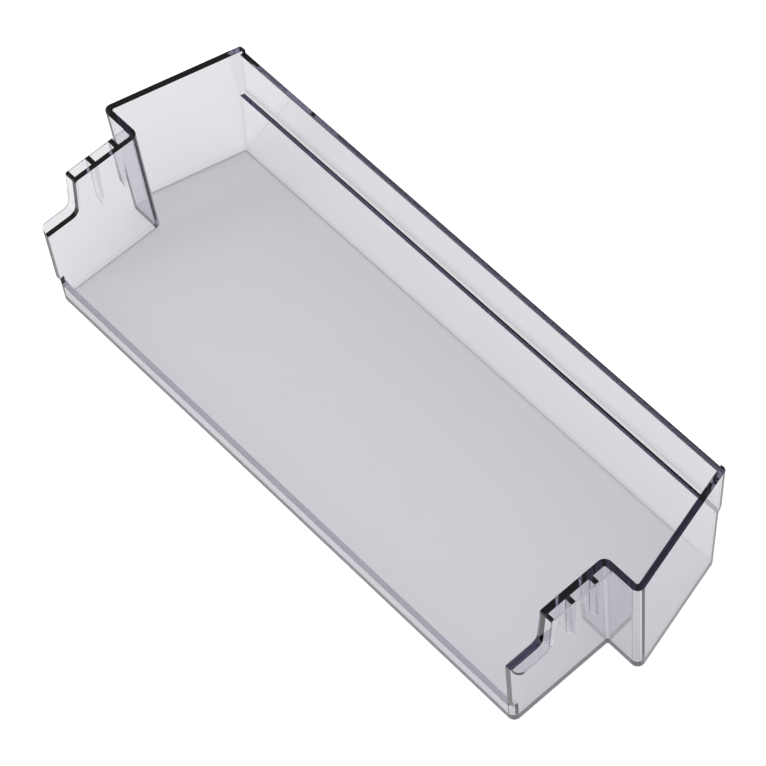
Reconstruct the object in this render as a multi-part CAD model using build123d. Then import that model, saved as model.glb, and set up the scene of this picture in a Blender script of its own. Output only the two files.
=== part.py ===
from build123d import *
import os
from math import cos, hypot, radians, tan

# A fridge door shelf: one clear injection-moulded tray, open at the top.
# X runs along the tray, -Y is its tall front wall, +Y its low back lip, Z is up.
# The origin is the middle of the underside, centred on the overall box.

# Overall sizes, taken over the outer faces and at the rim, with the ends' corners sharp
tray_depth = 137.5
tray_height = 87.0
flare_length = 385.0

# Plan of each end: it flares out from the front wall to the jog, then steps in to the neck
flare_spread = 19.5
jog_width = 22.7
jog_from_front = 77.3

# Walls and floor: the front wall and lip, and the flared, jogged and narrow end walls
wall = 3.0
end_wall = 3.5
floor_thickness = 3.0

# Draft of each outer face from the vertical, in degrees, narrowing towards the floor
flare_draft = 0.2
neck_draft = 0.4
jog_draft = 3.8
back_draft = 2.9

# Front wall: its top is below the end rims, and its upper band stands out over a ledge
front_drop = 2.3
ledge_height = 51.7
band_standout = 2.5
shoulder_top = 52.2
front_foot_draft = 0.4

# Back lip, and the height from which the end walls' back edges are cut square
lip_height = 15.0
square_edge_from = 19.0

# Side outline of the narrow end walls: a step down towards the back
step_from_front = 115.9
step_lean = 3.0
low_run_height = 60.3
step_top_radius = 1.6
step_foot_radius = 4.5

# Hook flange along the stepped edge, with gussets under its high run
flange_width = 4.6
flange_thickness = 2.4
flange_end_radius = 4.0
flange_end_inset = 0.8
gusset_count = 2
gusset_first = 8.9
gusset_pitch = 15.1
gusset_top_thickness = 2.8
gusset_foot_thickness = 1.3
gusset_foot_shift = 0.7
gusset_foot_height = 51.7
gusset_foot_rise = 2.8

# Corner radii seen in plan, the fillets along the floor, and the small rounding of every rim
bend_radius = 4.0
front_corner_radius = 2.0
inner_radius = 1.0
foot_radius = 0.5
floor_fillet = 1.0
rim_radius = 0.25

front_y = -tray_depth / 2
flare_slope = flare_spread / jog_from_front
half_front = flare_length / 2 - flare_spread
half_neck = flare_length / 2 - jog_width
overshoot = 5.0
FRONT, FLARE, JOG, BACK = range(4)


def outline(z, end_inset=0.0, front_inset=0.0, back_inset=0.0):
    """The tray's plan outline at height z, its sides moved inwards by their insets, as eight corners."""
    below = tray_height - z
    flare_at_front = half_front - below * tan(radians(flare_draft)) - end_inset * hypot(1, flare_slope)
    neck = half_neck - below * tan(radians(neck_draft)) - end_inset
    jog = front_y + jog_from_front - below * tan(radians(jog_draft)) - end_inset
    back = -front_y - (low_run_height - z) * tan(radians(back_draft)) - back_inset
    near = flare_at_front + front_inset * flare_slope
    far = flare_at_front + (jog - front_y) * flare_slope
    right = [(near, front_y + front_inset), (far, jog), (neck, jog), (neck, back)]
    return right + [(-x, y) for x, y in reversed(right)]


def drafted_block(lower, upper, z_lower, z_upper):
    """A closed block with flat sides between two like outlines at two heights."""
    feet = [Vector(x, y, z_lower) for x, y in lower]
    heads = [Vector(x, y, z_upper) for x, y in upper]
    faces = [Face(Wire.make_polygon(feet)), Face(Wire.make_polygon(heads))]
    for here in range(len(feet)):
        after = (here + 1) % len(feet)
        faces.append(Face(Wire.make_polygon([feet[here], feet[after], heads[after], heads[here]])))
    return Part() + Solid(Shell(faces))


def tub(z_lower, z_upper, **insets):
    """A drafted block with the tray's outline between two heights."""
    return drafted_block(outline(z_lower, **insets), outline(z_upper, **insets), z_lower, z_upper)


def side_section(corners, roundings=()):
    """A flat section with (distance from the front, height) corners, some of them rounded."""
    section = make_face(Polyline(*[(front_y + y, z) for y, z in corners], close=True))
    for y, z, radius in roundings:
        spot = Vector(front_y + y, z)
        vertex = section.vertices().sort_by(lambda each: (Vector(each) - spot).length)[0]
        section = fillet(vertex, radius)
    return section


def bar(section):
    """A section across the tray, run past both of its ends."""
    return extrude(Plane.YZ * section, amount=flare_length, both=True)


def uprights(block, corner, radius, **insets):
    """Rounds the upright edges, left and right, that start at one corner of the outline."""
    line_foot, line_head = [Vector(*outline(z, **insets)[corner], z) for z in (0, tray_height)]
    line = Axis(line_foot, line_head - line_foot)

    def on_line(edge):
        middle = edge.position_at(0.5)
        at_end = edge.position_at(0)
        both = [Vector(abs(point.X), point.Y, point.Z) for point in (middle, at_end)]
        return all((point - line_foot).cross(line.direction).length < 0.01 for point in both)

    return fillet(block.edges().filter_by(on_line), radius)


def edges_at(block, z):
    """The edges of a block that lie at height z."""
    return block.edges().filter_by_position(Axis.Z, z - 0.01, z + 0.01)


def front_step(depth, step_top, step_bottom, foot):
    """Section of what the front wall's step takes from a block, below its shoulder or ledge."""
    foot_run = (step_bottom - foot) * tan(radians(front_foot_draft))
    shallow = depth - band_standout
    return side_section([
        (-overshoot, foot - overshoot), (-overshoot, step_top), (shallow, step_top),
        (depth, step_bottom), (depth + foot_run, foot), (depth + foot_run, foot - overshoot)])


def outside():
    """The tray as if it were solid: drafted, stepped in front, with its bends and its foot rounded."""
    block = tub(0, tray_height + overshoot)
    square = block
    block -= bar(front_step(band_standout, shoulder_top, shoulder_top - band_standout, 0))
    block = uprights(block, FLARE, bend_radius)
    block = uprights(block, JOG, inner_radius)
    front_edges = block.edges().filter_by(
        lambda edge: edge.center().Y < front_y + 2 * band_standout and edge.position_at(0).Z != edge.position_at(1).Z
        and abs(edge.center().X) > half_neck)
    block = fillet(front_edges, front_corner_radius)
    corner_trims = square - uprights(square, BACK, bend_radius)
    low_band = Pos(0, 0, square_edge_from / 2) * Box(flare_length, tray_depth * 2, square_edge_from)
    block -= corner_trims & low_band
    return fillet(edges_at(block, 0), foot_radius)


def inside():
    """The room inside the tray, standing past the rim."""
    sizes = {"end_inset": end_wall, "front_inset": wall, "back_inset": wall}
    room = tub(floor_thickness, tray_height + 2 * overshoot, **sizes)
    room -= bar(front_step(wall + band_standout, ledge_height, ledge_height, floor_thickness))
    room = uprights(room, FLARE, inner_radius, **sizes)
    room = uprights(room, JOG, inner_radius + end_wall, **sizes)
    room = uprights(room, BACK, inner_radius, **sizes)
    return fillet(edges_at(room, floor_thickness), floor_fillet)


def over_lip():
    """The gap above the back lip, between the two end walls."""
    rows = []
    for z in (lip_height, tray_height + 2 * overshoot):
        neck, back = outline(z, end_inset=end_wall, back_inset=wall)[BACK]
        right = [(neck, back - 2 * inner_radius), (neck, back + wall + overshoot)]
        rows.append(right + [(-x, y) for x, y in reversed(right)])
    return drafted_block(*rows, lip_height, tray_height + 2 * overshoot)


def over_front():
    """What lowers the front wall's top between the end walls' inner faces."""
    rows = []
    for z in (tray_height - front_drop, tray_height + 2 * overshoot):
        right = [outline(z, end_inset=end_wall, front_inset=depth)[FRONT]
                 for depth in (-overshoot, wall + inner_radius)]
        rows.append(right + [(-x, y) for x, y in reversed(right)])
    return drafted_block(*rows, tray_height - front_drop, tray_height + 2 * overshoot)


def skyline(lowered=0.0):
    """Side section of the tray under its rim, its step down and its low run, or under a lower copy of them."""
    rim = tray_height - lowered
    low_run = low_run_height - lowered
    step_top = step_from_front - lowered / cos(radians(step_lean))
    step_foot = step_top + (rim - low_run) * tan(radians(step_lean))
    past_back = tray_depth + overshoot
    corners = [(-overshoot, -overshoot), (past_back, -overshoot), (past_back, low_run),
               (step_foot, low_run), (step_top, rim), (-overshoot, rim)]
    top_radius = max(step_top_radius - lowered, step_top_radius / 4)
    return side_section(corners, [(step_foot, low_run, step_foot_radius + lowered), (step_top, rim, top_radius)])


def rectangle(x_from, x_to, middle, width):
    """Four corners of a rectangle with its middle at the given y."""
    low, high = middle - width / 2, middle + width / 2
    return [(x_from, low), (x_to, low), (x_to, high), (x_from, high)]


def gusset(root, edge, middle):
    """A fin under the flange, as deep as the flange, thinner downwards, with its foot sloping up and out."""
    foot = rectangle(root, edge, middle - gusset_foot_shift, gusset_foot_thickness)
    head = rectangle(root, edge, middle, gusset_top_thickness)
    fin = drafted_block(foot, head, gusset_foot_height, tray_height - flange_thickness)
    toe = outline(gusset_foot_height)[BACK][0]
    past_edge = edge + overshoot
    rise = gusset_foot_rise * (past_edge - toe) / (edge - toe)
    slope = Polyline((toe, gusset_foot_height), (past_edge, gusset_foot_height - overshoot),
                     (past_edge, gusset_foot_height + rise), close=True)
    return fin - extrude(Plane.XZ * make_face(slope), amount=tray_depth, both=True)


def hook():
    """Flange and gussets on the outside of the right-hand narrow end wall."""
    root = half_neck - end_wall / 2
    edge = half_neck + flange_width
    start = front_y + jog_from_front - end_wall / 2
    end = outline(low_run_height)[BACK][1] - flange_end_inset
    plan = make_face(Polyline((root, start), (edge, start), (edge, end), (root, end), close=True))
    corner = plan.vertices().sort_by(lambda vertex: vertex.X + vertex.Y)[-1]
    plan = fillet(corner, flange_end_radius)
    strip = bar(skyline() - skyline(flange_thickness)) & extrude(plan, amount=tray_height)
    for number in range(gusset_count):
        strip += gusset(root, edge, front_y + jog_from_front + gusset_first + number * gusset_pitch)
    return strip


def rims(body):
    """The sharp edges along the skyline, without the seams that cross it where it turns."""
    side = skyline().wire()

    def is_rim(edge):
        ends_and_middle = [edge.position_at(part) for part in (0, 0.5, 1)]
        if any(side.distance_to(Vertex(point.Y, point.Z)) > 0.01 for point in ends_and_middle):
            return False
        across = abs(edge.tangent_at(0.5).X) > 0.999
        middle = ends_and_middle[1]
        at_jog = middle.Y < front_y + jog_from_front + 0.01
        at_back = middle.Y > -front_y - 0.01
        return not across or at_jog or at_back

    return body.edges().filter_by(is_rim)


tray = outside() - inside() - over_lip() - over_front()
tray &= bar(skyline())
right_hook = hook()
tray += right_hook
tray += mirror(right_hook, about=Plane.YZ)
tray = fillet(rims(tray), rim_radius)
tray = fillet(edges_at(tray, tray_height - front_drop), rim_radius)
tray = fillet(edges_at(tray, lip_height), rim_radius)

os.makedirs("parts", exist_ok=True)
export_step(tray, "parts/shelf_tray.step")
print(len(tray.solids()), round(tray.volume), tray.is_valid, tray.bounding_box())
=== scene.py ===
import bpy
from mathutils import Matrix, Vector

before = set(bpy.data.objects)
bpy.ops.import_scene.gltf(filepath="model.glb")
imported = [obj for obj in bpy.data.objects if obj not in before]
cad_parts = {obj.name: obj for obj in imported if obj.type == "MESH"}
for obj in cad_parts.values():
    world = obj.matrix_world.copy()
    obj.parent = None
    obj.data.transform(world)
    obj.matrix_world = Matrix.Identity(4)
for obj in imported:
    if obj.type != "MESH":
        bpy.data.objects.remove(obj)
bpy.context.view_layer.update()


# The tray: one injection moulding in clear polystyrene with a faint smoky blue tint, hung by its side flanges.
# The tint shows where light runs a long way inside a wall, so the rims and the ledge look nearly black and the
# flat walls stay pale. The floor's upper side is a little frosted, as floors of this kind are.

WHITE = (1.0, 1.0, 1.0, 1.0)
TINT_COLOUR = (0.77, 0.765, 0.82, 1.0)
TINT_DENSITY = 160.0
PLASTIC_IOR = 1.57
CLEAR_ROUGHNESS = 0.02
FROSTED_ROUGHNESS = 0.30
FLOOR_TOP = 0.003
FROST_FADES = (FLOOR_TOP + 0.0001, FLOOR_TOP + 0.0006)
LEVEL_FACE = (0.98, 0.999)


def feed(tree, socket, value):
    """Links a socket to a node's output, or sets it to a plain value."""
    if isinstance(value, bpy.types.NodeSocket):
        tree.links.new(value, socket)
    else:
        socket.default_value = value


def upward_part(tree, vector):
    """The Z of a place or of a direction."""
    parts = tree.nodes.new("ShaderNodeSeparateXYZ")
    feed(tree, parts.inputs[0], vector)
    return parts.outputs["Z"]


def carried_over(tree, value, from_ends, to_ends, interpolation="LINEAR"):
    """A value carried over from one range to another, and held beyond its ends."""
    carry = tree.nodes.new("ShaderNodeMapRange")
    carry.interpolation_type = interpolation
    feed(tree, carry.inputs["Value"], value)
    for name, end in zip(("From Min", "From Max", "To Min", "To Max"), (*from_ends, *to_ends)):
        feed(tree, carry.inputs[name], end)
    return carry.outputs["Result"]


clear_plastic = bpy.data.materials.new("clear_smoky_plastic")
clear_plastic.use_nodes = True
tree = clear_plastic.node_tree
tree.nodes.clear()

place = tree.nodes.new("ShaderNodeTexCoord")
height = upward_part(tree, place.outputs["Object"])
frost = carried_over(tree, height, FROST_FADES, (FROSTED_ROUGHNESS, CLEAR_ROUGHNESS), "SMOOTHSTEP")
facing = tree.nodes.new("ShaderNodeNewGeometry")
levelness = upward_part(tree, facing.outputs["Normal"])
roughness = carried_over(tree, levelness, LEVEL_FACE, (CLEAR_ROUGHNESS, frost))

plastic = tree.nodes.new("ShaderNodeBsdfPrincipled")
plastic.inputs["Base Color"].default_value = WHITE
plastic.inputs["IOR"].default_value = PLASTIC_IOR
plastic.inputs["Transmission Weight"].default_value = 1.0
feed(tree, plastic.inputs["Roughness"], roughness)

rays = tree.nodes.new("ShaderNodeLightPath")
straight_through = tree.nodes.new("ShaderNodeBsdfTransparent")
let_lamps_through = tree.nodes.new("ShaderNodeMixShader")
feed(tree, let_lamps_through.inputs["Fac"], rays.outputs["Is Shadow Ray"])
feed(tree, let_lamps_through.inputs[1], plastic.outputs["BSDF"])
feed(tree, let_lamps_through.inputs[2], straight_through.outputs["BSDF"])

tint = tree.nodes.new("ShaderNodeVolumeAbsorption")
tint.inputs["Color"].default_value = TINT_COLOUR
tint.inputs["Density"].default_value = TINT_DENSITY

output = tree.nodes.new("ShaderNodeOutputMaterial")
feed(tree, output.inputs["Surface"], let_lamps_through.outputs["Shader"])
feed(tree, output.inputs["Volume"], tint.outputs["Volume"])

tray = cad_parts["shelf_tray"]
tray.data.materials.clear()
tray.data.materials.append(clear_plastic)


# The table: a plain white board just under the tray. Its own faint glow, which shows only to the camera and in
# or through the plastic, makes the background white without more light on the tray.

TABLE_HALF = 4.0
TABLE_Z = -0.0001
TABLE_COLOUR = (0.80, 0.80, 0.80, 1.0)
TABLE_ROUGHNESS = 0.9
TABLE_GLOSS = 0.1
GLOW_TO_CAMERA = 0.70
GLOW_IN_PLASTIC = 0.39


def calculated(tree, operation, *values):
    """The result of one operation on two or three values."""
    step = tree.nodes.new("ShaderNodeMath")
    step.operation = operation
    for socket, value in zip(step.inputs, values):
        feed(tree, socket, value)
    return step.outputs[0]


def off_or_through_plastic(tree, rays):
    """1 for the rays that the plastic reflects or lets through, and 0 for others."""
    return calculated(tree, "MAXIMUM", rays.outputs["Is Glossy Ray"], rays.outputs["Is Transmission Ray"])


table_mesh = bpy.data.meshes.new("table_top")
corners = [(x * TABLE_HALF, y * TABLE_HALF, TABLE_Z) for x, y in ((-1, -1), (1, -1), (1, 1), (-1, 1))]
table_mesh.from_pydata(corners, [], [(0, 1, 2, 3)])
table_top = bpy.data.objects.new("table_top", table_mesh)
bpy.context.collection.objects.link(table_top)

white_board = bpy.data.materials.new("white_board")
white_board.use_nodes = True
tree = white_board.node_tree
rays = tree.nodes.new("ShaderNodeLightPath")
glow_in_plastic = calculated(tree, "MULTIPLY", off_or_through_plastic(tree, rays), GLOW_IN_PLASTIC)
glow = calculated(tree, "MULTIPLY_ADD", rays.outputs["Is Camera Ray"], GLOW_TO_CAMERA, glow_in_plastic)

board = tree.nodes["Principled BSDF"]
board.inputs["Base Color"].default_value = TABLE_COLOUR
board.inputs["Roughness"].default_value = TABLE_ROUGHNESS
board.inputs["Specular IOR Level"].default_value = TABLE_GLOSS
board.inputs["Emission Color"].default_value = WHITE
feed(tree, board.inputs["Emission Strength"], glow)
table_mesh.materials.append(white_board)


# The studio: an even white room that lights everything, and looks white behind the table. Seen off or through
# the plastic it fades to a dim ceiling, which draws the dark lines along the tray's edges. Light that the
# table has scattered finds the even room again.

ROOM_LIGHT = 0.65
BACKGROUND_WHITE = 1.0
LOW_STRENGTH = 0.95
CEILING_STRENGTH = 0.30
CEILING_FADES = (0.25, 0.60)
HALF_A_BOUNCE = 0.5


def chosen(tree, choice, at_zero, at_one):
    """The first value where the choice is 0, and the second where it is 1."""
    mix = tree.nodes.new("ShaderNodeMix")
    mix.data_type = "FLOAT"
    feed(tree, mix.inputs[0], choice)
    feed(tree, mix.inputs[2], at_zero)
    feed(tree, mix.inputs[3], at_one)
    return mix.outputs[0]


world = bpy.data.worlds.new("studio")
bpy.context.scene.world = world
world.use_nodes = True
tree = world.node_tree
tree.nodes.clear()

direction = tree.nodes.new("ShaderNodeTexCoord")
elevation = upward_part(tree, direction.outputs["Generated"])
overhead = carried_over(tree, elevation, CEILING_FADES, (LOW_STRENGTH, CEILING_STRENGTH), "SMOOTHSTEP")
rays = tree.nodes.new("ShaderNodeLightPath")
unscattered = calculated(tree, "LESS_THAN", rays.outputs["Diffuse Depth"], HALF_A_BOUNCE)
seen_in_plastic = calculated(tree, "MULTIPLY", unscattered, off_or_through_plastic(tree, rays))
light_or_view = chosen(tree, seen_in_plastic, ROOM_LIGHT, overhead)
strength = chosen(tree, rays.outputs["Is Camera Ray"], light_or_view, BACKGROUND_WHITE)

room = tree.nodes.new("ShaderNodeBackground")
room.inputs["Color"].default_value = WHITE
feed(tree, room.inputs["Strength"], strength)
output = tree.nodes.new("ShaderNodeOutputWorld")
feed(tree, output.inputs["Surface"], room.outputs["Background"])

bpy.context.scene.view_settings.view_transform = "Standard"


# The lamp: one square soft box behind and above the tray's back lip. It lights only the table, and is hidden
# from what the plastic reflects and lets through.

TOWARD_LAMP = Vector((0.325, 0.76, 0.56)).normalized()
LAMP_DISTANCE = 2.2
LAMP_SIZE = 0.45
LAMP_POWER = 10.0

soft_box = bpy.data.lights.new("soft_box", "AREA")
soft_box.size = LAMP_SIZE
soft_box.energy = LAMP_POWER
lamp = bpy.data.objects.new("soft_box", soft_box)
lamp.location = TOWARD_LAMP * LAMP_DISTANCE
lamp.rotation_euler = TOWARD_LAMP.to_track_quat("Z", "Y").to_euler()
lamp.visible_camera = False
lamp.visible_glossy = False
lamp.visible_transmission = False
bpy.context.collection.objects.link(lamp)


# The camera: a long lens, high up beyond the tray's back lip and its -X end, that looks down at the tray. Its
# place and turn were found from the tray's edges in the photograph.

LENS_LENGTH = 161.98
FILM_WIDTH = 36.0
FAR_LIMIT = 20.0
CAMERA_PLACE = (-0.693054, 0.573212, 1.490213)
CAMERA_TURN = (0.553764, 0.029795, -2.315162)

camera_data = bpy.data.cameras.new("camera")
camera_data.lens = LENS_LENGTH
camera_data.sensor_width = FILM_WIDTH
camera_data.sensor_fit = "AUTO"
camera_data.clip_end = FAR_LIMIT
camera = bpy.data.objects.new("camera", camera_data)
camera.location = CAMERA_PLACE
camera.rotation_euler = CAMERA_TURN
bpy.context.collection.objects.link(camera)
bpy.context.scene.camera = camera
